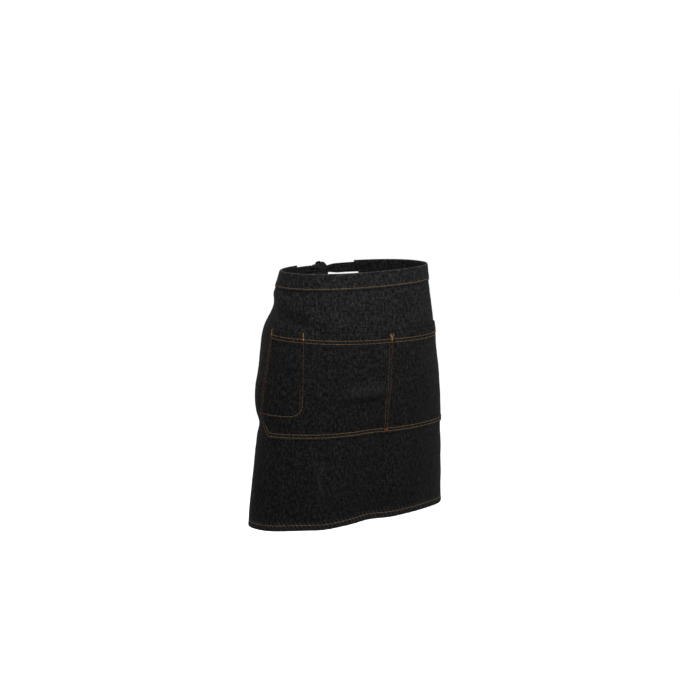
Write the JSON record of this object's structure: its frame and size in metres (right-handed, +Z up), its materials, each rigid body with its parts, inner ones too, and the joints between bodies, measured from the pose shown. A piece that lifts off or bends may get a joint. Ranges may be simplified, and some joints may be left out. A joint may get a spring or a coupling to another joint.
{
  "type": "waist apron",
  "caption": "Waist apron of dark denim on a stitched waistband, with one wide patch pocket across the front sewn into compartments and ties knotted at the back.",
  "frame": {"origin": "middle of the waist opening, halfway up the waistband", "axes": "+Z up, -Y the front, +X the wearer's left"},
  "size_m": [0.4335, 0.2492, 0.5116],
  "materials": {
    "black_denim": "faded black denim twill, matt, with a fine pale slub",
    "black_denim_band": "faded black denim twill, folded and topstitched",
    "black_denim_pocket": "faded black denim twill, hemmed and topstitched in tan thread",
    "black_twill_tie": "black cotton twill, folded and edge stitched",
    "tan_thread": "tan topstitching thread",
    "orange_thread": "orange bar tack thread"
  },
  "bodies": {
    "root": {"apron_panel": "black_denim", "waistband": "black_denim_band", "pocket_panel": "black_denim_pocket", "tie_right": "black_twill_tie", "tie_left": "black_twill_tie", "tie_knot": "black_twill_tie"}
  },
  "joints": []
}
